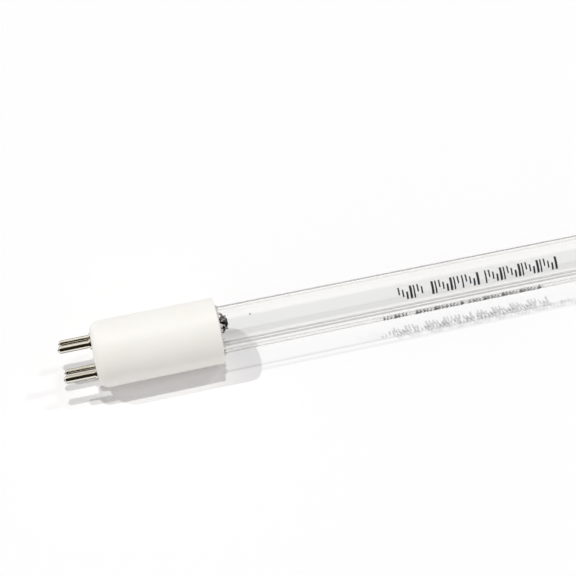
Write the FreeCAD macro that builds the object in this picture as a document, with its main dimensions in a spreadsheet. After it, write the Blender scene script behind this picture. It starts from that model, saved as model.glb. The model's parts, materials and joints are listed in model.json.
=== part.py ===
"""Ultraviolet lamp: a straight quartz tube with a four-pin ceramic base at one end.

Frame: +X runs from the contact pins to the far end and +Z is up. The origin is on the
surface that the lamp lies on, under the middle of its length. Millimetres.

The two ceramic ends carry the lamp, so its axis lies half a base diameter above the surface.
Places along the lamp are stations, counted from the outer face of the base towards the far end.
Angles round the axis start at +Y and turn towards +Z.
"""
import FreeCAD
import Part
import math
import os

import Sketcher

SIZES = {
    # Quartz tube
    "tube_diameter": 15.0,
    "tube_wall": 1.0,
    # Whole lamp over its two ceramic ends, without the pins
    "body_length": 287.0,
    # Ceramic base, at the pins
    "base_length": 39.0,
    "base_corner": 3.0,
    "base_wall": 4.0,
    # Ceramic cap, at the far end
    "cap_length": 39.0,
    "cap_wall": 4.0,
    # What both ceramic ends share
    "ceramic_thickness": 1.8,
    "rim_break": 0.35,
    # Contact pins: a narrower tang passes through the ceramic wall and is riveted behind it,
    # and a bore from that end takes the wire
    "pin_circle": 13.3,
    "pin_turn": 2.0,
    "pin_diameter": 2.3,
    "pin_length": 10.2,
    "pin_tip_round": 0.8,
    "pin_nose_diameter": 0.6,
    "pin_nose_length": 0.25,
    "pin_flange_diameter": 3.3,
    "pin_flange_thickness": 0.5,
    "pin_tang_diameter": 1.9,
    "pin_rivet_diameter": 3.2,
    "pin_rivet_thickness": 0.5,
    "pin_hole_clearance": 0.05,
    "pin_bore_depth": 4.5,
    # Flat seals where the hot quartz was pressed shut
    "seal_width": 15.0,
    "seal_thickness": 3.0,
    "seal_length": 11.0,
    "seal_edge_round": 1.4,
    "seal_blend": 6.0,
    "near_seal_start": 9.0,
    "far_seal_start": 7.0,
    # Stub of the exhaust tube, melted shut in the middle of the near seal
    "exhaust_diameter": 2.6,
    "exhaust_length": 2.4,
    "exhaust_tip_round": 1.1,
    # Metal foils inside the seals
    "foil_length": 8.0,
    "foil_width": 2.2,
    "foil_thickness": 0.12,
    "foil_spacing": 6.0,
    # Short electrode coils, set across the tube past the ceramic rims and to one side of its axis
    "electrode_turn": 36.0,
    "coil_past_rim": 2.05,
    "coil_offset": 2.1,
    "coil_length": 4.4,
    "coil_diameter": 2.4,
    "coil_wire": 0.45,
    "coil_turns": 6,
    # Wires that carry the coils
    "support_diameter": 0.8,
    "support_clearance": 0.35,
    "support_insertion": 1.3,
    "support_spread_run": 3.0,
    # Wires outside the seals
    "lead_diameter": 0.5,
    "lead_clearance": 0.05,
    "lead_bend": 0.9,
    "lead_exit_run": 1.2,
    "joint_gap": 0.05,
    # Return wire along the outside of the tube, in its sleeve
    "return_turn": 270.0,
    "sleeve_diameter": 1.0,
    "sleeve_bore": 0.6,
    "sleeve_gap": 0.05,
    "sleeve_start": 20.0,
    # Cement between the tube and the ceramic
    "cement_thickness": 1.2,
    "cement_length": 12.0,
    "cement_inset": 0.8,
    # Mercury drop on the inner wall
    "mercury_diameter": 0.6,
    "mercury_past_rim": 11.5,
    "mercury_turn": 338.0,
}

doc = FreeCAD.newDocument("ultraviolet_lamp")

dims = doc.addObject("Spreadsheet::Sheet", "dims")
for row, (alias, value) in enumerate(SIZES.items(), start=1):
    dims.set(f"A{row}", alias)
    dims.set(f"B{row}", str(value))
    dims.setAlias(f"B{row}", alias)
doc.recompute()

# Lengths and places that several pieces share, written in the sheet's own terms
START = "(dims.pin_length - dims.body_length) / 2"
TUBE_RADIUS = "dims.tube_diameter / 2"
CAVITY_RADIUS = "(dims.tube_diameter / 2 - dims.tube_wall)"
BORE_RADIUS = "(dims.tube_diameter / 2 + dims.cement_thickness)"
CERAMIC_RADIUS = f"({BORE_RADIUS} + dims.ceramic_thickness)"
AXIS_HEIGHT = CERAMIC_RADIUS
NEAR_SEAL_END = "(dims.near_seal_start + dims.seal_length)"
FAR_SEAL_END = "(dims.body_length - dims.far_seal_start - dims.seal_length)"
NEAR_TUBE_END = f"({NEAR_SEAL_END} + dims.seal_blend)"
FAR_TUBE_END = f"({FAR_SEAL_END} - dims.seal_blend)"
SEAL_HALVES = ("(dims.seal_width / 2)", "(dims.seal_thickness / 2)")
HOLLOW_HALVES = (
    "(dims.seal_width / 2 - dims.tube_wall)",
    "(dims.support_diameter / 2 + dims.support_clearance)",
)
EXHAUST_TIP = "(dims.near_seal_start - dims.exhaust_length)"
RETURN_RADIUS = "(dims.tube_diameter / 2 + dims.sleeve_gap + dims.sleeve_diameter / 2)"
PIN_BORE_RADIUS = "(dims.lead_diameter / 2 + dims.lead_clearance)"
PIN_INNER_END = "(dims.base_wall + dims.pin_rivet_thickness)"
PIN_BORE_FLOOR = f"({PIN_INNER_END} - dims.pin_bore_depth)"
SEAL_MARGIN = "(dims.seal_length - dims.foil_length) / 2"


def size(expression):
    """The present value of an expression in the sheet's terms."""
    return float(dims.evalExpression(expression))


def polar(radius, angle):
    """The Y and Z of a point at this radius and angle (degrees) round the lamp's axis."""
    turn = math.radians(angle)
    return radius * math.cos(turn), radius * math.sin(turn)


def plane_of(body, role):
    """The origin plane of a body with this role."""
    for feature in body.Origin.OriginFeatures:
        if feature.Role == role:
            return feature
    raise RuntimeError("no origin plane " + role)


def new_body(label, angle=0):
    """An empty body along the lamp's axis, turned round it, with its X counted in stations."""
    body = doc.addObject("PartDesign::Body", label)
    body.Label = label
    body.Placement = FreeCAD.Placement(
        FreeCAD.Vector(0, 0, 0), FreeCAD.Rotation(FreeCAD.Vector(1, 0, 0), angle)
    )
    body.setExpression("Placement.Base.x", START)
    body.setExpression("Placement.Base.z", AXIS_HEIGHT)
    return body


def new_sketch(body, name, role, offset=None):
    """A sketch on an origin plane of the body, moved out along the plane's normal by the offset."""
    sketch = body.newObject("Sketcher::SketchObject", name)
    sketch.AttachmentSupport = [(plane_of(body, role), "")]
    sketch.MapMode = "FlatFace"
    if offset is not None:
        sketch.setExpression("AttachmentOffset.Base.z", offset)
    return sketch


def bind(sketch, kind, geometry, point, expression):
    """Holds one coordinate of a sketch point at an expression."""
    value = size(expression)
    if abs(value) < 1e-9:
        axis = -2 if kind == "DistanceX" else -1
        sketch.addConstraint(Sketcher.Constraint("PointOnObject", geometry, point, axis))
        return
    held = Sketcher.Constraint(kind, -1, 1, geometry, point, value)
    index = sketch.addConstraint(held)
    sketch.setExpression(f"Constraints[{index}]", expression)


def draw_outline(sketch, corners):
    """A closed outline through corners given as pairs of expressions."""
    spots = [FreeCAD.Vector(size(x), size(y), 0) for x, y in corners]
    first = sketch.GeometryCount
    count = len(corners)
    for index in range(count):
        sketch.addGeometry(Part.LineSegment(spots[index], spots[(index + 1) % count]))
    for index in range(count):
        following = (index + 1) % count
        meet = Sketcher.Constraint("Coincident", first + index, 2, first + following, 1)
        sketch.addConstraint(meet)
    for index, (x, y) in enumerate(corners):
        bind(sketch, "DistanceX", first + index, 1, x)
        bind(sketch, "DistanceY", first + index, 1, y)


def draw_circle(sketch, x, y, radius):
    """A circle whose centre and radius are expressions."""
    centre = FreeCAD.Vector(size(x), size(y), 0)
    circle = Part.Circle(centre, FreeCAD.Vector(0, 0, 1), size(radius))
    geometry = sketch.addGeometry(circle)
    bind(sketch, "DistanceX", geometry, 3, x)
    bind(sketch, "DistanceY", geometry, 3, y)
    index = sketch.addConstraint(Sketcher.Constraint("Radius", geometry, size(radius)))
    sketch.setExpression(f"Constraints[{index}]", radius)


def draw_oval(sketch, half_width, half_height):
    """A closed oval round the origin, with its widest points on the axes."""
    oval = Part.Ellipse(FreeCAD.Vector(0, 0, 0), size(half_width), size(half_height))
    sketch.addGeometry(oval)


def revolve(body, name, corners):
    """Turns an outline of stations and radii round the lamp's axis."""
    sketch = new_sketch(body, name + "_outline", "XY_Plane")
    draw_outline(sketch, corners)
    feature = body.newObject("PartDesign::Revolution", name)
    feature.Profile = sketch
    feature.ReferenceAxis = (sketch, ["H_Axis"])
    feature.Angle = 360
    doc.recompute()
    return feature


def circle_edges(body, station, radius):
    """Names of the body's round edges of this radius at this station."""
    found = []
    for index, edge in enumerate(body.Shape.Edges, start=1):
        if not isinstance(edge.Curve, Part.Circle):
            continue
        middle = body.Placement.inverse().multVec(edge.Curve.Center)
        if abs(middle.x - station) < 1e-4 and abs(edge.Curve.Radius - radius) < 1e-4:
            found.append(f"Edge{index}")
    return found


def round_edge(body, name, station, radius, rounding):
    """Rounds the edge that a radius makes at a station."""
    base = body.Tip
    fillet = body.newObject("PartDesign::Fillet", name)
    fillet.Base = (base, circle_edges(body, size(station), size(radius)))
    fillet.setExpression("Radius", rounding)
    doc.recompute()
    return fillet


def ceramic_shell(label, length, wall, outer_face, inward):
    """A ceramic end: a cup with a closed outer face, a bore and a rounded outer corner."""
    rim = f"({outer_face} + {inward} * {length})"
    floor = f"({outer_face} + {inward} * {wall})"
    body = new_body(label)
    revolve(body, label + "_cup", [
        (outer_face, "0"),
        (outer_face, CERAMIC_RADIUS),
        (rim, CERAMIC_RADIUS),
        (rim, BORE_RADIUS),
        (floor, BORE_RADIUS),
        (floor, "0"),
    ])
    round_edge(body, label + "_corner", outer_face, CERAMIC_RADIUS, "dims.base_corner")
    round_edge(body, label + "_rim", rim, CERAMIC_RADIUS, "dims.rim_break")
    return body


def cement_ring(label, rim, inward):
    """Cement between tube and ceramic, with a channel for the sleeve of the return wire."""
    mouth = f"({rim} - {inward} * dims.cement_inset)"
    depth = f"({mouth} - {inward} * dims.cement_length)"
    body = new_body(label)
    revolve(body, label + "_ring", [
        (depth, TUBE_RADIUS),
        (mouth, TUBE_RADIUS),
        (mouth, BORE_RADIUS),
        (depth, BORE_RADIUS),
    ])
    channel = new_sketch(body, label + "_channel_outline", "YZ_Plane", depth)
    turn = "dims.return_turn"
    draw_circle(
        channel,
        f"{RETURN_RADIUS} * cos({turn} * 1 deg)",
        f"{RETURN_RADIUS} * sin({turn} * 1 deg)",
        "dims.sleeve_diameter / 2 + 2 * dims.sleeve_gap",
    )
    pocket = body.newObject("PartDesign::Pocket", label + "_channel")
    pocket.Profile = channel
    pocket.Type = "ThroughAll"
    pocket.Midplane = True
    doc.recompute()
    return body


def flatten_tube(body, name, round_end, flat_end, radius, halves):
    """Narrows a round end of the tube to a flat oval of these half width and half thickness."""
    round_outline = new_sketch(body, f"{name}_round_outline", "YZ_Plane", round_end)
    draw_circle(round_outline, "0", "0", radius)
    flat_outline = new_sketch(body, f"{name}_flat_outline", "YZ_Plane", flat_end)
    draw_oval(flat_outline, halves[0], halves[1])
    blend = body.newObject("PartDesign::AdditiveLoft", f"{name}_blend")
    blend.Profile = round_outline
    blend.Sections = [flat_outline]
    doc.recompute()


def press_seal(body, name, start):
    """A flat seal with rounded long edges, from this station on."""
    outline = new_sketch(body, f"{name}_seal_outline", "YZ_Plane", start)
    half_width, half_thickness = SEAL_HALVES
    draw_outline(outline, [
        (f"-{half_width}", f"-{half_thickness}"),
        (half_width, f"-{half_thickness}"),
        (half_width, half_thickness),
        (f"-{half_width}", half_thickness),
    ])
    seal = body.newObject("PartDesign::Pad", f"{name}_seal")
    seal.Profile = outline
    seal.setExpression("Length", "dims.seal_length")
    doc.recompute()
    edges = long_edges(body, size("dims.seal_length"), size(start))
    rounding = body.newObject("PartDesign::Fillet", f"{name}_seal_edges")
    rounding.Base = (seal, edges)
    rounding.setExpression("Radius", "dims.seal_edge_round")
    doc.recompute()


def long_edges(body, length, start):
    """Names of the body's straight edges that run along the lamp from this station."""
    found = []
    for index, edge in enumerate(body.Shape.Edges, start=1):
        if not isinstance(edge.Curve, Part.Line) or abs(edge.Length - length) > 1e-4:
            continue
        middle = body.Placement.inverse().multVec(edge.CenterOfMass)
        if abs(middle.x - start - length / 2) < 1e-4:
            found.append(f"Edge{index}")
    return found


def straight_and_arc_path(points, bend):
    """A wire of straight runs joined by tangent arcs of one radius."""
    edges = []
    start = points[0]
    for index in range(1, len(points) - 1):
        corner = points[index]
        back = (points[index - 1] - corner).normalize()
        ahead = (points[index + 1] - corner).normalize()
        half_turn = (math.pi - back.getAngle(ahead)) / 2
        reach = bend * math.tan(half_turn)
        arc_start = corner + back * reach
        arc_end = corner + ahead * reach
        middle = (back + ahead).normalize()
        arc_middle = corner + middle * (bend / math.cos(half_turn) - bend)
        edges.append(Part.LineSegment(start, arc_start).toShape())
        edges.append(Part.Arc(arc_start, arc_middle, arc_end).toShape())
        start = arc_end
    edges.append(Part.LineSegment(start, points[-1]).toShape())
    return Part.Wire(edges)


def bent_wire(label, points, diameter, bend, placement):
    """A round wire bent along the points."""
    path = straight_and_arc_path(points, bend)
    direction = (points[1] - points[0]).normalize()
    section = Part.Wire([Part.Circle(points[0], direction, diameter / 2).toShape()])
    wire = doc.addObject("Part::Feature", label)
    wire.Label = label
    wire.Shape = path.makePipeShell([section], True, False)
    wire.Placement = placement
    return wire


def end_placement(outer_station, turn, reversed_end):
    """A frame on one end's outer face: X into the lamp, Y along that end's electrode coil."""
    base = FreeCAD.Vector(size(START) + outer_station, 0, size(AXIS_HEIGHT))
    rotation = FreeCAD.Rotation(FreeCAD.Vector(1, 0, 0), turn)
    if reversed_end:
        rotation = rotation * FreeCAD.Rotation(FreeCAD.Vector(0, 0, 1), 180)
    return FreeCAD.Placement(base, rotation)


def electrode(end, frame, seal_start, rim):
    """One end's electrode coil, its two supports and the two foils in the seal."""
    foil_outer = f"({seal_start} + {SEAL_MARGIN})"
    foil_inner = f"({seal_start} + {SEAL_MARGIN} + dims.foil_length)"
    seal_end = size(f"{seal_start} + dims.seal_length")
    coil_station = size(f"{rim} + dims.coil_past_rim")
    offset = size("dims.coil_offset")
    half_coil = size("dims.coil_length") / 2
    reach = half_coil + size("dims.support_diameter") / 2 + size("dims.support_clearance")
    inner_reach = half_coil - size("dims.support_insertion")
    spread = size("dims.support_spread_run")
    half_spacing = size("dims.foil_spacing") / 2
    support_diameter = size("dims.support_diameter")
    pieces = []
    for number, side in ((1, 1), (2, -1)):
        foil = doc.addObject("Part::Box", f"{end}_foil_{number}")
        foil.Label = f"{end}_foil_{number}"
        foil.setExpression("Length", "dims.foil_length")
        foil.setExpression("Width", "dims.foil_width")
        foil.setExpression("Height", "dims.foil_thickness")
        corner = FreeCAD.Vector(
            size(foil_outer),
            side * half_spacing - size("dims.foil_width") / 2,
            -size("dims.foil_thickness") / 2,
        )
        foil.Placement = frame * FreeCAD.Placement(corner, FreeCAD.Rotation())
        route = [
            FreeCAD.Vector(size(foil_inner), side * half_spacing, 0),
            FreeCAD.Vector(seal_end + spread, side * half_spacing, 0),
            FreeCAD.Vector(seal_end + 2 * spread, offset + side * reach, 0),
            FreeCAD.Vector(coil_station, offset + side * reach, 0),
            FreeCAD.Vector(coil_station, offset + side * inner_reach, 0),
        ]
        support = bent_wire(
            f"{end}_support_{number}", route, support_diameter, support_diameter, frame
        )
        pieces += [foil, support]
    coil = electrode_coil(end, frame, coil_station)
    return pieces, coil


def electrode_coil(end, frame, coil_station):
    """A tungsten coil across the tube, threaded on the turned-in ends of its supports."""
    helix = doc.addObject("Part::Helix", f"{end}_coil_line")
    helix.setExpression("Radius", "(dims.coil_diameter - dims.coil_wire) / 2")
    helix.setExpression("Pitch", "(dims.coil_length - dims.coil_wire) / dims.coil_turns")
    helix.setExpression("Height", "dims.coil_length - dims.coil_wire")
    section = doc.addObject("Part::Circle", f"{end}_coil_section")
    section.setExpression("Radius", "dims.coil_wire / 2")
    section.Placement = FreeCAD.Placement(
        FreeCAD.Vector(0, 0, 0), FreeCAD.Rotation(FreeCAD.Vector(1, 0, 0), 90)
    )
    section.setExpression("Placement.Base.x", "(dims.coil_diameter - dims.coil_wire) / 2")
    doc.recompute()
    coil = doc.addObject("Part::Sweep", f"{end}_filament")
    coil.Label = f"{end}_filament"
    coil.Sections = [section]
    coil.Spine = (helix, ["Edge1"])
    coil.Solid = True
    coil.Frenet = True
    start = size("dims.coil_offset - (dims.coil_length - dims.coil_wire) / 2")
    across = FreeCAD.Rotation(FreeCAD.Vector(1, 0, 0), -90)
    coil.Placement = frame * FreeCAD.Placement(FreeCAD.Vector(coil_station, start, 0), across)
    return coil


# Ceramic base: a cup with four holes for the pins in its closed face
base = ceramic_shell("ceramic_base", "dims.base_length", "dims.base_wall", "0", "1")
hole_outline = new_sketch(base, "pin_hole_outline", "YZ_Plane")
draw_circle(
    hole_outline,
    "dims.pin_circle / 2 * cos(dims.pin_turn * 1 deg)",
    "dims.pin_circle / 2 * sin(dims.pin_turn * 1 deg)",
    "dims.pin_tang_diameter / 2 + dims.pin_hole_clearance",
)
pin_hole = base.newObject("PartDesign::Pocket", "pin_hole")
pin_hole.Profile = hole_outline
pin_hole.Reversed = True
pin_hole.setExpression("Length", "dims.base_wall")
doc.recompute()
pin_holes = base.newObject("PartDesign::PolarPattern", "pin_holes")
pin_holes.Originals = [pin_hole]
pin_holes.Axis = (hole_outline, ["N_Axis"])
pin_holes.Angle = 360
pin_holes.Occurrences = 4
base.Tip = pin_holes
doc.recompute()

# Ceramic cap at the far end
cap = ceramic_shell(
    "end_cap", "dims.cap_length", "dims.cap_wall", "dims.body_length", "-1"
)

# Contact pins, one quarter turn apart
pins = []
for number in range(1, 5):
    label = f"contact_pin_{number}"
    pin = new_body(label)
    turn = f"(dims.pin_turn + 90 * {number}) * 1 deg"
    pin.setExpression("Placement.Base.y", f"dims.pin_circle / 2 * cos({turn})")
    pin.setExpression(
        "Placement.Base.z", f"{AXIS_HEIGHT} + dims.pin_circle / 2 * sin({turn})"
    )
    revolve(pin, label + "_turned", [
        ("-dims.pin_length", "0"),
        ("-dims.pin_length", "dims.pin_nose_diameter / 2"),
        ("-dims.pin_length + dims.pin_nose_length", "dims.pin_nose_diameter / 2"),
        ("-dims.pin_length + dims.pin_nose_length", "dims.pin_diameter / 2"),
        ("-dims.pin_flange_thickness", "dims.pin_diameter / 2"),
        ("-dims.pin_flange_thickness", "dims.pin_flange_diameter / 2"),
        ("0", "dims.pin_flange_diameter / 2"),
        ("0", "dims.pin_tang_diameter / 2"),
        ("dims.base_wall", "dims.pin_tang_diameter / 2"),
        ("dims.base_wall", "dims.pin_rivet_diameter / 2"),
        (PIN_INNER_END, "dims.pin_rivet_diameter / 2"),
        (PIN_INNER_END, PIN_BORE_RADIUS),
        (PIN_BORE_FLOOR, PIN_BORE_RADIUS),
        (PIN_BORE_FLOOR, "0"),
    ])
    round_edge(
        pin,
        label + "_tip",
        "-dims.pin_length + dims.pin_nose_length",
        "dims.pin_diameter / 2",
        "dims.pin_tip_round",
    )
    round_edge(
        pin,
        label + "_nose",
        "-dims.pin_length",
        "dims.pin_nose_diameter / 2",
        "dims.pin_nose_length / 2",
    )
    pins.append(pin)

# Cement in both ceramic ends
base_cement = cement_ring("base_cement", "dims.base_length", "1")
end_cement = cement_ring("end_cement", "(dims.body_length - dims.cap_length)", "-1")

# Electrodes and foils
turn = size("dims.electrode_turn")
near_frame = end_placement(0, turn, False)
far_frame = end_placement(size("dims.body_length"), turn, True)
near_pieces, near_coil = electrode(
    "near", near_frame, "dims.near_seal_start", "dims.base_length"
)
far_pieces, far_coil = electrode(
    "far", far_frame, "dims.far_seal_start", "dims.cap_length"
)

# Wires from the near foils into the bores of their pins
lamp_frame = end_placement(0, 0, False)
lead_diameter = size("dims.lead_diameter")
lead_bend = size("dims.lead_bend")
pin_radius = size("dims.pin_circle / 2")
lead_end = size(f"{PIN_BORE_FLOOR} + dims.joint_gap")
seal_mouth = size("dims.near_seal_start")
exit_run = size("dims.lead_exit_run")
near_foil_end = size(f"dims.near_seal_start + {SEAL_MARGIN}")
behind_rivets = size(PIN_INNER_END) + exit_run
half_spacing = size("dims.foil_spacing") / 2
leads = []
for number, foil_side in ((1, 0), (2, 180)):
    foil_y, foil_z = polar(half_spacing, turn + foil_side)
    pin_y, pin_z = polar(pin_radius, size("dims.pin_turn") + 90 * number)
    leads.append(bent_wire(
        f"near_lead_{number}",
        [
            FreeCAD.Vector(near_foil_end, foil_y, foil_z),
            FreeCAD.Vector(seal_mouth - exit_run, foil_y, foil_z),
            FreeCAD.Vector(behind_rivets, pin_y, pin_z),
            FreeCAD.Vector(lead_end, pin_y, pin_z),
        ],
        lead_diameter,
        lead_bend,
        lamp_frame,
    ))

# Wires from the far foils to the joint with the return wire
far_foil_end = size(f"dims.body_length - dims.far_seal_start - {SEAL_MARGIN}")
joint_station = size("dims.body_length - dims.far_seal_start + dims.lead_exit_run")
joint_gap = size("dims.joint_gap")
for number, foil_side in ((1, 180), (2, 0)):
    foil_y, foil_z = polar(half_spacing, turn + foil_side)
    leads.append(bent_wire(
        f"far_lead_{number}",
        [
            FreeCAD.Vector(far_foil_end, foil_y, foil_z),
            FreeCAD.Vector(joint_station - lead_diameter / 2 - joint_gap, foil_y, foil_z),
        ],
        lead_diameter,
        lead_bend,
        lamp_frame,
    ))

# Return wire: across both far leads, back along the outside of the tube, into pin 3
return_radius = size(RETURN_RADIUS)
return_turn = size("dims.return_turn")
past_lead = half_spacing + lead_diameter
cross_start_y, cross_start_z = polar(past_lead, turn)
cross_end_y, cross_end_z = polar(past_lead, turn + 180)
return_y, return_z = polar(return_radius, return_turn)
pin_3_y, pin_3_z = polar(pin_radius, size("dims.pin_turn") + 270)
pin_4_y, pin_4_z = polar(pin_radius, size("dims.pin_turn") + 360)
return_wire = bent_wire(
    "return_wire",
    [
        FreeCAD.Vector(joint_station, cross_start_y, cross_start_z),
        FreeCAD.Vector(joint_station, cross_end_y, cross_end_z),
        FreeCAD.Vector(joint_station, return_y, return_z),
        FreeCAD.Vector(seal_mouth, return_y, return_z),
        FreeCAD.Vector(behind_rivets + lead_bend, pin_3_y, pin_3_z),
        FreeCAD.Vector(lead_end, pin_3_y, pin_3_z),
    ],
    lead_diameter,
    lead_bend,
    lamp_frame,
)

# Jumper: from the bore of pin 4 to the return wire behind pin 3
to_pin_3 = FreeCAD.Vector(0, pin_3_y - pin_4_y, pin_3_z - pin_4_z)
jumper_run = to_pin_3.Length - lead_diameter - joint_gap
jumper_end = FreeCAD.Vector(behind_rivets, pin_4_y, pin_4_z) + to_pin_3.normalize() * jumper_run
pin_jumper = bent_wire(
    "pin_jumper",
    [
        FreeCAD.Vector(lead_end, pin_4_y, pin_4_z),
        FreeCAD.Vector(behind_rivets, pin_4_y, pin_4_z),
        jumper_end,
    ],
    lead_diameter,
    lead_bend,
    lamp_frame,
)

# Sleeve on the return wire, from inside the base to inside the cap
sleeve = new_body("return_sleeve")
sleeve.setExpression("Placement.Base.y", f"{RETURN_RADIUS} * cos(dims.return_turn * 1 deg)")
sleeve.setExpression(
    "Placement.Base.z", f"{AXIS_HEIGHT} + {RETURN_RADIUS} * sin(dims.return_turn * 1 deg)"
)
sleeve_outline = new_sketch(sleeve, "sleeve_outline", "YZ_Plane", "dims.sleeve_start")
draw_circle(sleeve_outline, "0", "0", "dims.sleeve_diameter / 2")
draw_circle(sleeve_outline, "0", "0", "dims.sleeve_bore / 2")
sleeve_run = sleeve.newObject("PartDesign::Pad", "sleeve_run")
sleeve_run.Profile = sleeve_outline
sleeve_run.setExpression("Length", "dims.body_length - 2 * dims.sleeve_start")
doc.recompute()

# Quartz tube: round, with both ends pressed flat round the foils
glass = new_body("quartz_blank", turn)
revolve(glass, "tube_outside", [
    (NEAR_TUBE_END, "0"),
    (NEAR_TUBE_END, TUBE_RADIUS),
    (FAR_TUBE_END, TUBE_RADIUS),
    (FAR_TUBE_END, "0"),
])
flatten_tube(glass, "near", NEAR_TUBE_END, NEAR_SEAL_END, TUBE_RADIUS, SEAL_HALVES)
flatten_tube(glass, "far", FAR_TUBE_END, FAR_SEAL_END, TUBE_RADIUS, SEAL_HALVES)
press_seal(glass, "near", "dims.near_seal_start")
press_seal(glass, "far", FAR_SEAL_END)
revolve(glass, "exhaust_stub", [
    (EXHAUST_TIP, "0"),
    (EXHAUST_TIP, "dims.exhaust_diameter / 2"),
    (f"dims.near_seal_start + {SEAL_MARGIN}", "dims.exhaust_diameter / 2"),
    (f"dims.near_seal_start + {SEAL_MARGIN}", "0"),
])
round_edge(glass, "exhaust_tip", EXHAUST_TIP, "dims.exhaust_diameter / 2", "dims.exhaust_tip_round")

hollow = new_body("tube_hollow", turn)
revolve(hollow, "hollow_round", [
    (NEAR_TUBE_END, "0"),
    (NEAR_TUBE_END, CAVITY_RADIUS),
    (FAR_TUBE_END, CAVITY_RADIUS),
    (FAR_TUBE_END, "0"),
])
near_hollow_end = f"({NEAR_SEAL_END} + dims.tube_wall)"
far_hollow_end = f"({FAR_SEAL_END} - dims.tube_wall)"
flatten_tube(hollow, "near", NEAR_TUBE_END, near_hollow_end, CAVITY_RADIUS, HOLLOW_HALVES)
flatten_tube(hollow, "far", FAR_TUBE_END, far_hollow_end, CAVITY_RADIUS, HOLLOW_HALVES)

metal_in_glass = doc.addObject("Part::MultiFuse", "metal_in_glass")
metal_in_glass.Shapes = near_pieces + far_pieces + leads
inside = doc.addObject("Part::MultiFuse", "hollow_and_metal")
inside.Shapes = [hollow, metal_in_glass]
quartz_tube = doc.addObject("Part::Cut", "quartz_tube")
quartz_tube.Label = "quartz_tube"
quartz_tube.Base = glass
quartz_tube.Tool = inside
doc.recompute()

# Mercury drop that clings to the inner wall
mercury = doc.addObject("Part::Sphere", "mercury_drop")
mercury.Label = "mercury_drop"
mercury.setExpression("Radius", "dims.mercury_diameter / 2")
drop_radius = f"({CAVITY_RADIUS} - dims.mercury_diameter / 2 - dims.joint_gap)"
mercury.setExpression(
    "Placement.Base.x", f"{START} + dims.base_length + dims.mercury_past_rim"
)
mercury.setExpression(
    "Placement.Base.y", f"{drop_radius} * cos(dims.mercury_turn * 1 deg)"
)
mercury.setExpression(
    "Placement.Base.z", f"{AXIS_HEIGHT} + {drop_radius} * sin(dims.mercury_turn * 1 deg)"
)
doc.recompute()

nodes = [base, base_cement] + pins + [quartz_tube]
nodes += near_pieces + [near_coil] + far_pieces + [far_coil]
nodes += leads + [return_wire, sleeve, pin_jumper, cap, end_cement, mercury]

for thing in doc.Objects:
    if "Invalid" in thing.State or "Error" in thing.State:
        raise RuntimeError("failed: " + thing.Label)
for node in nodes:
    if node.Shape.isNull() or not node.Shape.isValid():
        raise RuntimeError("bad shape: " + node.Label)
    if len(node.Shape.Solids) != 1:
        raise RuntimeError("not one solid: " + node.Label)

os.makedirs("parts", exist_ok=True)
for node in nodes:
    node.Shape.exportStep(f"parts/{node.Label}.step")
    print(node.Label, round(node.Shape.Volume, 3))
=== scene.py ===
"""Ultraviolet lamp on a plain white table: finish of every surface, fine coils, print and light.

Lengths are metres in the frame of the CAD model: +X from the contact pins to the far cap, +Z up,
the table at Z = 0. Angles round the lamp's axis start at +Y and turn towards +Z.
"""
import json
import math
import random

import bmesh
import bpy
from mathutils import Matrix, Vector


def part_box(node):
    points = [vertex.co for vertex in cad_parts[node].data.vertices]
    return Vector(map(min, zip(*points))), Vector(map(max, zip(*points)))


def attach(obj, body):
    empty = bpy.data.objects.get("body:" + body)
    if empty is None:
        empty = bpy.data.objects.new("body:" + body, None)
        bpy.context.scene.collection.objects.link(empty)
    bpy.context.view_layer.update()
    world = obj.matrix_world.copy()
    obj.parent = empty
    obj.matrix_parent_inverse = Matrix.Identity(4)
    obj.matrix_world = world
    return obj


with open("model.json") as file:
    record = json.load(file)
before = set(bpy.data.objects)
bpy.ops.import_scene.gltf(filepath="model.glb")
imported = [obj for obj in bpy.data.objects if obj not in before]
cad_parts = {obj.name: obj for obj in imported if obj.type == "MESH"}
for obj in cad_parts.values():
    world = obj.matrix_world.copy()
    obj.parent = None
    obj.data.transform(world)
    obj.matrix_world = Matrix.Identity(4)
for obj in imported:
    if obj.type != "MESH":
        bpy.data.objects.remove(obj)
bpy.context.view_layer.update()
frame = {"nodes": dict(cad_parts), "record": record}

NODES = frame["nodes"]
MM = 0.001
BLACK = (0.0, 0.0, 0.0)
WHITE = (1.0, 1.0, 1.0)

# Camera, as the photograph was taken: place, heading, tilt and focal length, over a sensor in mm
CAMERA_PLACE = Vector((-0.1270, -0.2000, 0.2915))
CAMERA_HEADING = math.radians(14.1)
CAMERA_TILT = math.radians(52.25)
FRAME_PIXELS = 576
FOCAL_PIXELS = 1100
SENSOR_WIDTH = 36.0

# Places that the other pieces take from the frame
base_low, base_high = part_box("ceramic_base")
tube_low, tube_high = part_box("quartz_tube")
AXIS_Z = (base_low.z + base_high.z) / 2
TUBE_RADIUS = (tube_high.z - tube_low.z) / 2
RIM_X = base_high.x
HALF_WALL = 0.5 * MM


def new_material(name):
    """A material with a Principled shader: the material, its nodes, its links and the shader."""
    material = bpy.data.materials.new(name)
    material.use_nodes = True
    tree = material.node_tree
    return material, tree.nodes, tree.links, tree.nodes["Principled BSDF"]


def noise(nodes, links, scale, detail=4.0, roughness=0.5, stretch=(1.0, 1.0, 1.0)):
    """A noise texture in the object's own coordinates, finer across than along if stretched."""
    place = nodes.new("ShaderNodeTexCoord")
    mapping = nodes.new("ShaderNodeMapping")
    mapping.inputs["Scale"].default_value = stretch
    texture = nodes.new("ShaderNodeTexNoise")
    texture.inputs["Scale"].default_value = scale
    texture.inputs["Detail"].default_value = detail
    texture.inputs["Roughness"].default_value = roughness
    links.new(place.outputs["Object"], mapping.inputs["Vector"])
    links.new(mapping.outputs["Vector"], texture.inputs["Vector"])
    return texture.outputs["Fac"]


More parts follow.
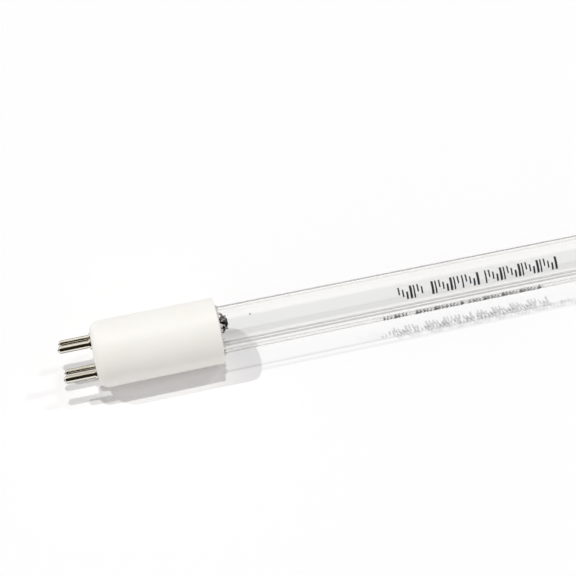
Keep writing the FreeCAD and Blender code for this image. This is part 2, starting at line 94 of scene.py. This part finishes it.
def ramp(nodes, links, value, stops):
    """Colours or greys picked by a value between 0 and 1."""
    picker = nodes.new("ShaderNodeValToRGB")
    elements = picker.color_ramp.elements
    while len(elements) < len(stops):
        elements.new(0.5)
    for element, (position, colour) in zip(elements, stops):
        element.position = position
        element.color = (*colour, 1.0)
    links.new(value, picker.inputs["Fac"])
    return picker.outputs["Color"]


def span(nodes, links, value, low, high):
    """The value, spread from 0..1 to low..high."""
    spread = nodes.new("ShaderNodeMapRange")
    spread.inputs["To Min"].default_value = low
    spread.inputs["To Max"].default_value = high
    links.new(value, spread.inputs["Value"])
    return spread.outputs["Result"]


def joined(nodes, links, operation, first, second):
    """Two numbers put together by a Math node."""
    result = nodes.new("ShaderNodeMath")
    result.operation = operation
    for socket, value in zip(result.inputs, (first, second)):
        if isinstance(value, float):
            socket.default_value = value
        else:
            links.new(value, socket)
    return result.outputs["Value"]


def bump(nodes, links, shader, height, distance, strength=1.0):
    """Raises the surface by this height pattern."""
    relief = nodes.new("ShaderNodeBump")
    relief.inputs["Strength"].default_value = strength
    relief.inputs["Distance"].default_value = distance
    links.new(height, relief.inputs["Height"])
    links.new(relief.outputs["Normal"], shader.inputs["Normal"])


def ceramic_material():
    """White steatite, fired with a thin satin skin: warm white with faint clouds and fine grain."""
    material, nodes, links, shader = new_material("ceramic")
    clouds = noise(nodes, links, 90.0, detail=3.0)
    colour = ramp(nodes, links, clouds, [
        (0.3, (0.950, 0.939, 0.880)), (0.7, (0.970, 0.961, 0.910)),
    ])
    links.new(colour, shader.inputs["Base Color"])
    links.new(span(nodes, links, clouds, 0.42, 0.56), shader.inputs["Roughness"])
    shader.inputs["Specular IOR Level"].default_value = 0.35
    shader.inputs["Subsurface Weight"].default_value = 0.12
    shader.inputs["Subsurface Radius"].default_value = (1.0, 0.8, 0.6)
    shader.inputs["Subsurface Scale"].default_value = 0.4 * MM
    bump(nodes, links, shader, noise(nodes, links, 2600.0, detail=5.0), 0.01 * MM, 0.5)
    return material


def cement_material():
    """Chalky cement, rough and a little darker than the ceramic."""
    material, nodes, links, shader = new_material("cement")
    grain = noise(nodes, links, 900.0, detail=6.0, roughness=0.65)
    colour = ramp(nodes, links, grain, [(0.3, (0.62, 0.61, 0.58)), (0.7, (0.82, 0.81, 0.77))])
    links.new(colour, shader.inputs["Base Color"])
    shader.inputs["Roughness"].default_value = 0.85
    bump(nodes, links, shader, grain, 0.15 * MM)
    return material


def facing_away(nodes):
    """0 where a surface faces the ray, towards 1 where the ray grazes it."""
    facing = nodes.new("ShaderNodeLayerWeight")
    facing.inputs["Blend"].default_value = 0.5
    return facing.outputs["Facing"]


def quartz_material():
    """Clear fused quartz, olive grey where it is seen at a grazing angle: partly the quartz's own
    tint over its long path there, partly painted shade.
    """
    material, nodes, links, shader = new_material("quartz")
    painted_edge_shade = ramp(nodes, links, facing_away(nodes), [
        (0.0, (0.985, 0.988, 0.985)), (0.58, (0.98, 0.98, 0.97)), (0.8, (0.42, 0.41, 0.36)),
    ])
    links.new(painted_edge_shade, shader.inputs["Base Color"])
    shader.inputs["Transmission Weight"].default_value = 1.0
    shader.inputs["IOR"].default_value = 1.46
    shader.inputs["Roughness"].default_value = 0.0
    return with_clear_shadow(material, nodes, links, shader)


def outer_wall(nodes, links):
    """1 on the tube's outer wall, 0 on its inner one."""
    place = nodes.new("ShaderNodeTexCoord")
    from_axis = nodes.new("ShaderNodeVectorMath")
    from_axis.operation = "SUBTRACT"
    from_axis.inputs[1].default_value = (0.0, 0.0, AXIS_Z)
    across = nodes.new("ShaderNodeVectorMath")
    across.operation = "MULTIPLY"
    across.inputs[1].default_value = (0.0, 1.0, 1.0)
    distance = nodes.new("ShaderNodeVectorMath")
    distance.operation = "LENGTH"
    links.new(place.outputs["Object"], from_axis.inputs[0])
    links.new(from_axis.outputs["Vector"], across.inputs[0])
    links.new(across.outputs["Vector"], distance.inputs[0])
    mid_wall = TUBE_RADIUS - HALF_WALL
    return joined(nodes, links, "GREATER_THAN", distance.outputs["Value"], mid_wall)


def with_clear_shadow(material, nodes, links, shader):
    """Lets light for other surfaces through, and dims it in the wall at both sides of the tube."""
    grazing = joined(nodes, links, "MULTIPLY", facing_away(nodes), outer_wall(nodes, links))
    tint = ramp(nodes, links, grazing, [
        (0.0, (0.987, 0.987, 0.987)), (0.50, (0.985, 0.985, 0.985)), (0.75, (0.72, 0.72, 0.72)),
    ])
    clear = nodes.new("ShaderNodeBsdfTransparent")
    links.new(tint, clear.inputs["Color"])
    # Rays past a first diffuse bounce aren't bent either, so no lamp's light is counted twice
    path = nodes.new("ShaderNodeLightPath")
    mix = nodes.new("ShaderNodeMixShader")
    gathered = joined(nodes, links, "GREATER_THAN", path.outputs["Diffuse Depth"], 0.5)
    unbent = joined(nodes, links, "MAXIMUM", path.outputs["Is Shadow Ray"], gathered)
    links.new(unbent, mix.inputs["Fac"])
    links.new(shader.outputs["BSDF"], mix.inputs[1])
    links.new(clear.outputs["BSDF"], mix.inputs[2])
    links.new(mix.outputs["Shader"], nodes["Material Output"].inputs["Surface"])
    return material


def plated_material(name, dark, light, low, high, painted_edge_shade=None):
    """Plated or drawn metal in faint patches, with painted shade of another colour where it turns
    away from the ray, if such a colour is given.
    """
    material, nodes, links, shader = new_material(name)
    shader.inputs["Metallic"].default_value = 1.0
    patches = noise(nodes, links, 700.0, detail=4.0)
    colour = ramp(nodes, links, patches, [(0.3, dark), (0.7, light)])
    if painted_edge_shade:
        colour = towards_painted_edge_shade(nodes, links, colour, painted_edge_shade)
    links.new(colour, shader.inputs["Base Color"])
    links.new(span(nodes, links, patches, low, high), shader.inputs["Roughness"])
    return material


# Where the painted shade on plated metal starts and is full, as its turn away from the ray
PAINTED_SHADE_STARTS = 0.36
PAINTED_SHADE_ENDS = 0.62


def towards_painted_edge_shade(nodes, links, colour, painted_edge_shade):
    """The colour, changed to the painted shade colour where the surface turns away."""
    share = ramp(nodes, links, facing_away(nodes), [(PAINTED_SHADE_STARTS, BLACK), (PAINTED_SHADE_ENDS, WHITE)])
    mix = nodes.new("ShaderNodeMix")
    mix.data_type = "RGBA"
    links.new(share, mix.inputs["Factor"])
    links.new(colour, mix.inputs["A"])
    mix.inputs["B"].default_value = (*painted_edge_shade, 1.0)
    return mix.outputs["Result"]


def coating_material():
    """Dark emissive coating on the coils, in glossy and in dull specks."""
    material, nodes, links, shader = new_material("filament")
    grain = noise(nodes, links, 2400.0, detail=5.0, roughness=0.7)
    colour = ramp(nodes, links, grain, [
        (0.45, (0.006, 0.007, 0.006)), (0.58, (0.03, 0.032, 0.028)), (0.70, (0.20, 0.20, 0.18)),
    ])
    links.new(colour, shader.inputs["Base Color"])
    links.new(span(nodes, links, grain, 0.12, 0.35), shader.inputs["Roughness"])
    bump(nodes, links, shader, grain, 0.08 * MM)
    return material


def painted_glint_material():
    """Whitish grains among the coating's dark ones: painted glints."""
    material, nodes, links, shader = new_material("painted_glint")
    grain = noise(nodes, links, 2400.0, detail=4.0)
    colour = ramp(nodes, links, grain, [(0.35, (0.84, 0.85, 0.82)), (0.65, (0.96, 0.96, 0.94))])
    links.new(colour, shader.inputs["Base Color"])
    links.new(span(nodes, links, grain, 0.1, 0.3), shader.inputs["Roughness"])
    return material


def sleeve_material():
    """Thin fibreglass sleeve, greyish white."""
    material, nodes, links, shader = new_material("sleeve")
    weave = noise(nodes, links, 1500.0, detail=3.0, stretch=(0.5, 1.0, 1.0))
    colour = ramp(nodes, links, weave, [(0.3, (0.60, 0.60, 0.59)), (0.7, (0.74, 0.74, 0.73))])
    links.new(colour, shader.inputs["Base Color"])
    shader.inputs["Roughness"].default_value = 0.5
    bump(nodes, links, shader, weave, 0.03 * MM)
    return material


def ink_material():
    """Black ink fired onto the quartz, thinner in specks."""
    material, nodes, links, shader = new_material("print_ink")
    specks = noise(nodes, links, 3000.0, detail=4.0)
    colour = ramp(nodes, links, specks, [
        (0.35, (0.045, 0.045, 0.048)), (0.65, (0.016, 0.016, 0.018)),
    ])
    links.new(colour, shader.inputs["Base Color"])
    links.new(span(nodes, links, specks, 0.35, 0.6), shader.inputs["Roughness"])
    bump(nodes, links, shader, specks, 0.005 * MM)
    return material


MATERIALS = {
    "ceramic": ceramic_material(),
    "cement": cement_material(),
    "quartz": quartz_material(),
    # The pins' dark brown colour where they turn away from the ray is painted shade
    "pin_metal": plated_material(
        "pin_metal", (0.78, 0.75, 0.66), (0.84, 0.81, 0.73), 0.06, 0.10, painted_edge_shade=(0.16, 0.135, 0.08),
    ),
    "lead_wire": plated_material("lead_wire", (0.5, 0.48, 0.45), (0.68, 0.66, 0.62), 0.2, 0.35),
    "support_wire": plated_material(
        "support_wire", (0.3, 0.28, 0.26), (0.5, 0.48, 0.45), 0.25, 0.4,
    ),
    "foil": plated_material("foil", (0.42, 0.42, 0.44), (0.6, 0.6, 0.62), 0.25, 0.4),
    "filament": coating_material(),
    "painted_glint": painted_glint_material(),
    "sleeve": sleeve_material(),
    "mercury": plated_material("mercury", (0.5, 0.5, 0.52), (0.6, 0.6, 0.62), 0.02, 0.05),
    "print_ink": ink_material(),
}


def dress_frame():
    """Gives each CAD node the material of its slot."""
    for row in frame["record"]["subparts"]:
        node = NODES.get(row["node"])
        if node is None:
            continue
        node.data.materials.clear()
        node.data.materials.append(MATERIALS[row["material_slot"]])


def on_tube(x, angle, radius):
    """A point at this place along the lamp, angle round its axis and distance from it."""
    return Vector((x, radius * math.cos(angle), AXIS_Z + radius * math.sin(angle)))


# Ink on the tube: its gap to the quartz, its thickness and how finely it follows the curve
PRINT_LIFT = 0.02 * MM
PRINT_THICKNESS = 0.02 * MM
PRINT_STEP = math.radians(4.0)


def printed_patch(mesh, x_start, x_end, angle_start, angle_end):
    """One solid mark of ink that follows the tube's curve."""
    steps = max(2, round(abs(angle_end - angle_start) / PRINT_STEP))
    inner = TUBE_RADIUS + PRINT_LIFT
    outer = inner + PRINT_THICKNESS
    rings = []
    for step in range(steps + 1):
        angle = angle_start + (angle_end - angle_start) * step / steps
        rings.append([
            mesh.verts.new(on_tube(x_start, angle, inner)),
            mesh.verts.new(on_tube(x_end, angle, inner)),
            mesh.verts.new(on_tube(x_end, angle, outer)),
            mesh.verts.new(on_tube(x_start, angle, outer)),
        ])
    for first, second in zip(rings, rings[1:]):
        for corner in range(4):
            following = (corner + 1) % 4
            mesh.faces.new((first[corner], first[following], second[following], second[corner]))
    mesh.faces.new(rings[0])
    mesh.faces.new(reversed(rings[-1]))


def object_from(mesh, name, finish, smooth=False):
    """A piece from a bmesh, in this finish, riding on the lamp."""
    bmesh.ops.recalc_face_normals(mesh, faces=mesh.faces)
    data = bpy.data.meshes.new(name)
    mesh.to_mesh(data)
    mesh.free()
    if smooth:
        data.shade_smooth()
    data.materials.append(MATERIALS[finish])
    piece = bpy.data.objects.new(name, data)
    bpy.context.scene.collection.objects.link(piece)
    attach(piece, "root")
    return piece


# Rows of print, as groups of upright bars: where a group starts past the rim, and how many bars
MARK_HEIGHT = 4.1 * MM
MARK_PITCH = 1.25 * MM
PRINT_GROUPS = ((57.4 * MM, 7), (68.3 * MM, 8), (78.5 * MM, 5), (86.3 * MM, 20))
PRINT_ANGLES = {"print_upper": math.radians(126.5), "print_lower": math.radians(206.0)}
PRINT_SHIFTS = {"print_upper": 0.0, "print_lower": -5.0 * MM}
# A bar's stroke, and where it starts and ends between the line's foot and head. Bars follow each
# other in steps of BAR_STEP kinds
BAR_STEP = 2
BAR_KINDS = (
    (0.50 * MM, 0.0, 1.0),
    (0.62 * MM, 0.0, 0.58),
    (0.50 * MM, 0.42, 1.0),
    (0.78 * MM, 0.0, 1.0),
    (0.50 * MM, 0.22, 0.78),
)


def print_row(name):
    """A row of bars in groups, each bar of the next kind in a plain order."""
    mesh = bmesh.new()
    half_angle = MARK_HEIGHT / 2 / TUBE_RADIUS
    for start, count in PRINT_GROUPS:
        for index in range(count):
            stroke, low, high = BAR_KINDS[(index * BAR_STEP + count) % len(BAR_KINDS)]
            left = RIM_X + start + PRINT_SHIFTS[name] + index * MARK_PITCH
            foot = PRINT_ANGLES[name] + half_angle * (1 - 2 * low)
            head = PRINT_ANGLES[name] + half_angle * (1 - 2 * high)
            printed_patch(mesh, left, left + stroke, foot, head)
    return object_from(mesh, name, "print_ink")


def build_print():
    """Two rows of print: one faces up and forward, one lies lower on the front of the tube."""
    for name in PRINT_ANGLES:
        print_row(name)


# Cement that was squeezed out at the rim, from its seat in the ceramic to its uneven edge
BEAD_DEPTH = 0.7 * MM
BEAD_LIFT = 0.02 * MM
BEAD_STEPS = 180
BEAD_REACH = 0.6 * MM
BEAD_SWELL = 1.3 * MM
BEAD_THICKNESS = 0.75 * MM
BEAD_PROFILE_STEPS = 8
BEAD_WAVES = (3, 5, 8, 13, 21, 34)
BEAD_LEAST_SWELL = -0.3
BEAD_SEED = 7


def build_bead():
    """An uneven bead of cement round the tube where it leaves the ceramic."""
    drawn = random.Random(BEAD_SEED)
    waves = [(count, drawn.uniform(0.0, 2.0 * math.pi)) for count in BEAD_WAVES]
    mesh = bmesh.new()
    rings = []
    for step in range(BEAD_STEPS):
        angle = 2.0 * math.pi * step / BEAD_STEPS
        swell = sum(math.sin(count * angle + phase) for count, phase in waves) / len(waves)
        reach = BEAD_REACH + BEAD_SWELL * max(BEAD_LEAST_SWELL, swell)
        ring = []
        for part in range(BEAD_PROFILE_STEPS + 1):
            turn = math.pi / 2 * part / BEAD_PROFILE_STEPS
            x = RIM_X - BEAD_DEPTH + (BEAD_DEPTH + reach) * math.sin(turn)
            out = TUBE_RADIUS + BEAD_LIFT + BEAD_THICKNESS * math.cos(turn)
            ring.append(mesh.verts.new(on_tube(x, angle, out)))
        ring.append(mesh.verts.new(on_tube(RIM_X - BEAD_DEPTH, angle, TUBE_RADIUS + BEAD_LIFT)))
        rings.append(ring)
    for first, second in zip(rings, rings[1:] + rings[:1]):
        for side in range(len(first)):
            following = (side + 1) % len(first)
            mesh.faces.new((first[side], first[following], second[following], second[side]))
    return object_from(mesh, "cement_bead", "cement", smooth=True)


def camera_axes():
    """The camera's right, up and forward directions."""
    level = math.cos(CAMERA_TILT)
    forward = Vector((
        math.sin(CAMERA_HEADING) * level,
        math.cos(CAMERA_HEADING) * level,
        -math.sin(CAMERA_TILT),
    ))
    right = Vector((math.cos(CAMERA_HEADING), -math.sin(CAMERA_HEADING), 0.0))
    return right, right.cross(forward), forward


# Grains that stick to the coils: how many, how large, how rough, how far out as a share of the
# coil's radius, and how many are whitish grains painted as glints
ELECTRODE_TURN = math.radians(36.0)
GRAIN_COUNT = 420
GRAIN_SIZES = (0.16 * MM, 0.34 * MM)
GRAIN_SQUARENESS = 2.6
GRAIN_ROUGHNESS = 0.28
GRAIN_PLACES = (0.85, 1.06)
PAINTED_GLINT_SHARE = 0.14
COATING_SEED = 11


def build_coating(node, side):
    """A crust of dark grains on one electrode coil, with whitish grains that stand out of it as
    painted glints.
    """
    drawn = random.Random(COATING_SEED)
    low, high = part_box(node)
    middle = (low + high) / 2
    thickness = high.x - low.x
    length = (high.y - low.y - thickness * math.sin(ELECTRODE_TURN)) / math.cos(ELECTRODE_TURN)
    along = Vector((0.0, math.cos(ELECTRODE_TURN), math.sin(ELECTRODE_TURN)))
    aside = Vector((1.0, 0.0, 0.0))
    across = along.cross(aside)
    grains, painted_glints = bmesh.new(), bmesh.new()
    for _ in range(GRAIN_COUNT):
        mesh = painted_glints if drawn.random() < PAINTED_GLINT_SHARE else grains
        place = drawn.uniform(-1.0, 1.0)
        turn = drawn.uniform(0.0, 2.0 * math.pi)
        bulge = (1.0 - abs(place) ** GRAIN_SQUARENESS) ** (1.0 / GRAIN_SQUARENESS)
        out = thickness / 2 * bulge * drawn.uniform(*GRAIN_PLACES)
        if mesh is painted_glints:
            out += GRAIN_SIZES[0] / 2
        centre = middle + along * (place * length / 2)
        centre += aside * (out * math.cos(turn)) + across * (out * math.sin(turn))
        size = drawn.uniform(*GRAIN_SIZES)
        grain = bmesh.ops.create_icosphere(mesh, subdivisions=1, radius=size)
        for vertex in grain["verts"]:
            vertex.co *= drawn.uniform(1.0 - GRAIN_ROUGHNESS, 1.0 + GRAIN_ROUGHNESS)
            vertex.co += centre
    object_from(grains, f"{side}_coating", "filament")
    object_from(painted_glints, f"{side}_crystals", "painted_glint")


def build_camera():
    """The photograph's view."""
    right, up, forward = camera_axes()
    camera = bpy.data.objects.new("camera", bpy.data.cameras.new("camera"))
    turn = Matrix((right, up, -forward)).transposed().to_4x4()
    camera.matrix_world = Matrix.Translation(CAMERA_PLACE) @ turn
    camera.data.sensor_width = SENSOR_WIDTH
    camera.data.lens = FOCAL_PIXELS / FRAME_PIXELS * SENSOR_WIDTH
    camera.data.clip_start = 0.01
    bpy.context.scene.collection.objects.link(camera)
    bpy.context.scene.camera = camera


def lamp(name, towards_light, share, softness):
    """A distant lamp from this direction that gives a level white surface this share of white."""
    light = bpy.data.lights.new(name, "SUN")
    direction = Vector(towards_light).normalized()
    light.energy = share * math.pi / direction.z
    light.angle = math.radians(softness)
    holder = bpy.data.objects.new(name, light)
    holder.rotation_euler = direction.to_track_quat("Z", "Y").to_euler()
    bpy.context.scene.collection.objects.link(holder)


# The table, and how much it is lifted to white where it is seen
TABLE_HALF_WIDTH = 3.0
FLOOR_COLOUR = (0.93, 0.93, 0.93)
FLOOR_CAMERA_LIFT = 0.07
# The sky's share of a white surface's light, from the horizon behind the lamp (0), over the top,
# to the horizon in front (1)
SKY_SHARES = [(0.3, (0.16, 0.155, 0.156)), (0.7, (0.52, 0.504, 0.506))]
# Each lamp: its direction, its share of a white surface's light, its shadow's softness in degrees
LAMPS = {
    "light_above": ((0.05, 0.15, 1.0), 0.33, 1.1),
    "light_left": ((-0.58, 0.31, 1.0), 0.26, 1.1),
    "light_right": ((0.75, 0.17, 1.0), 0.07, 2.5),
}
# What metal and glass mirror, over the same turn
MIRRORED_ROOM = [
    (0.00, (1.0, 0.985, 0.94)),
    (0.39, (1.0, 0.985, 0.94)),
    (0.41, (0.12, 0.09, 0.06)),
    (0.44, (0.34, 0.28, 0.18)),
    (0.47, (0.02, 0.014, 0.010)),
    (1.00, (0.02, 0.014, 0.010)),
]


def shown_behind(nodes, links):
    """1 for rays that show the background, by themselves, off a mirror or through glass."""
    path = nodes.new("ShaderNodeLightPath")
    clear = joined(
        nodes, links, "MAXIMUM", path.outputs["Is Glossy Ray"], path.outputs["Is Transmission Ray"]
    )
    untouched = joined(nodes, links, "LESS_THAN", path.outputs["Diffuse Depth"], 0.5)
    clean = joined(nodes, links, "MULTIPLY", clear, untouched)
    return joined(nodes, links, "MAXIMUM", path.outputs["Is Camera Ray"], clean)


def build_table():
    """A plain white table that keeps the lamp's shadow and shows white elsewhere."""
    material, nodes, links, shader = new_material("table")
    shader.inputs["Base Color"].default_value = (*FLOOR_COLOUR, 1.0)
    shader.inputs["Roughness"].default_value = 0.9
    shader.inputs["Specular IOR Level"].default_value = 0.0
    lift = joined(nodes, links, "MULTIPLY", shown_behind(nodes, links), FLOOR_CAMERA_LIFT)
    shader.inputs["Emission Color"].default_value = (*WHITE, 1.0)
    links.new(lift, shader.inputs["Emission Strength"])
    mesh = bmesh.new()
    bmesh.ops.create_grid(mesh, x_segments=8, y_segments=8, size=TABLE_HALF_WIDTH)
    data = bpy.data.meshes.new("table")
    mesh.to_mesh(data)
    mesh.free()
    data.materials.append(material)
    table = bpy.data.objects.new("table", data)
    bpy.context.scene.collection.objects.link(table)


def over_the_lamp(nodes, links):
    """A direction's turn over the lamp, from the horizon behind (0) to the one in front (1)."""
    direction = nodes.new("ShaderNodeTexCoord")
    parts = nodes.new("ShaderNodeSeparateXYZ")
    links.new(direction.outputs["Generated"], parts.inputs["Vector"])
    turn = joined(nodes, links, "ARCTAN2", parts.outputs["Z"], parts.outputs["Y"])
    return joined(nodes, links, "DIVIDE", turn, math.pi)


def build_sky():
    """Plain soft light all round, white where it is seen, and a room that metal and glass mirror."""
    world = bpy.data.worlds.new("sky")
    world.use_nodes = True
    nodes, links = world.node_tree.nodes, world.node_tree.links
    turn = over_the_lamp(nodes, links)
    plain = nodes["Background"]
    links.new(ramp(nodes, links, turn, SKY_SHARES), plain.inputs["Color"])
    white = nodes.new("ShaderNodeBackground")
    white.inputs["Color"].default_value = (*WHITE, 1.0)
    room = nodes.new("ShaderNodeBackground")
    links.new(ramp(nodes, links, turn, MIRRORED_ROOM), room.inputs["Color"])
    path = nodes.new("ShaderNodeLightPath")
    seen = nodes.new("ShaderNodeMixShader")
    mirrored = nodes.new("ShaderNodeMixShader")
    links.new(path.outputs["Is Camera Ray"], seen.inputs["Fac"])
    links.new(room.outputs["Background"], seen.inputs[1])
    links.new(white.outputs["Background"], seen.inputs[2])
    links.new(shown_behind(nodes, links), mirrored.inputs["Fac"])
    links.new(plain.outputs["Background"], mirrored.inputs[1])
    links.new(seen.outputs["Shader"], mirrored.inputs[2])
    links.new(mirrored.outputs["Shader"], nodes["World Output"].inputs["Surface"])
    bpy.context.scene.world = world


def build_light():
    """One lamp nearly overhead, one behind from the left and a weak one from the right."""
    for name, (towards_light, share, softness) in LAMPS.items():
        lamp(name, towards_light, share, softness)


dress_frame()
build_print()
build_bead()
build_coating("near_filament", "near")
build_coating("far_filament", "far")
build_camera()
build_table()
build_sky()
build_light()

bpy.context.scene.view_settings.view_transform = "Standard"
